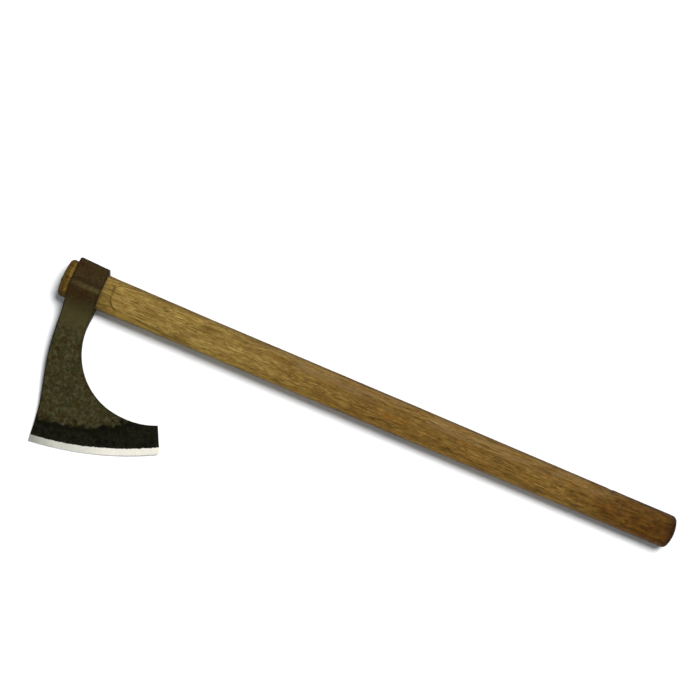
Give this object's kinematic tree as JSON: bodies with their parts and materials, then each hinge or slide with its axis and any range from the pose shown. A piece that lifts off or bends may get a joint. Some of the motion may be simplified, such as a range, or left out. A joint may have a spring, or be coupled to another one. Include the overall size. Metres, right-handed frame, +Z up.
{
  "type": "bearded broad axe",
  "caption": "Bearded broad axe: forged head with an oval eye, long hooked beard and ground steel edge, wedged on a straight wooden haft with flats, for hewing and shaving timber.",
  "frame": {"origin": "on the surface it lies on, under the middle of the bounding box, with the axe lying on its side", "axes": "+X along the haft from the head to the butt; +Y from the cutting edge towards the poll; +Z up, across the blade. The axe lies as it comes to rest, on the cheek of the eye, the heel of the edge and the butt, so its middle plane is rolled by about 5.7 degrees about X"},
  "size_m": [0.6986, 0.2, 0.0364],
  "materials": {
    "forged_iron": "forged and oil-blackened, mottled olive grey with rusty brown spots",
    "edge_steel": "blue-black hardened band with a bright ground bevel",
    "haft_wood": "stained open-pored hardwood, oiled",
    "wedge_wood": "raw hardwood end grain, oiled",
    "wedge_steel": "dull dark steel with a hammered head"
  },
  "bodies": {
    "root": {"head_body": "forged_iron", "steel_bit": "edge_steel", "haft": "haft_wood", "wooden_wedge": "wedge_wood", "steel_wedge": "wedge_steel"}
  },
  "joints": []
}
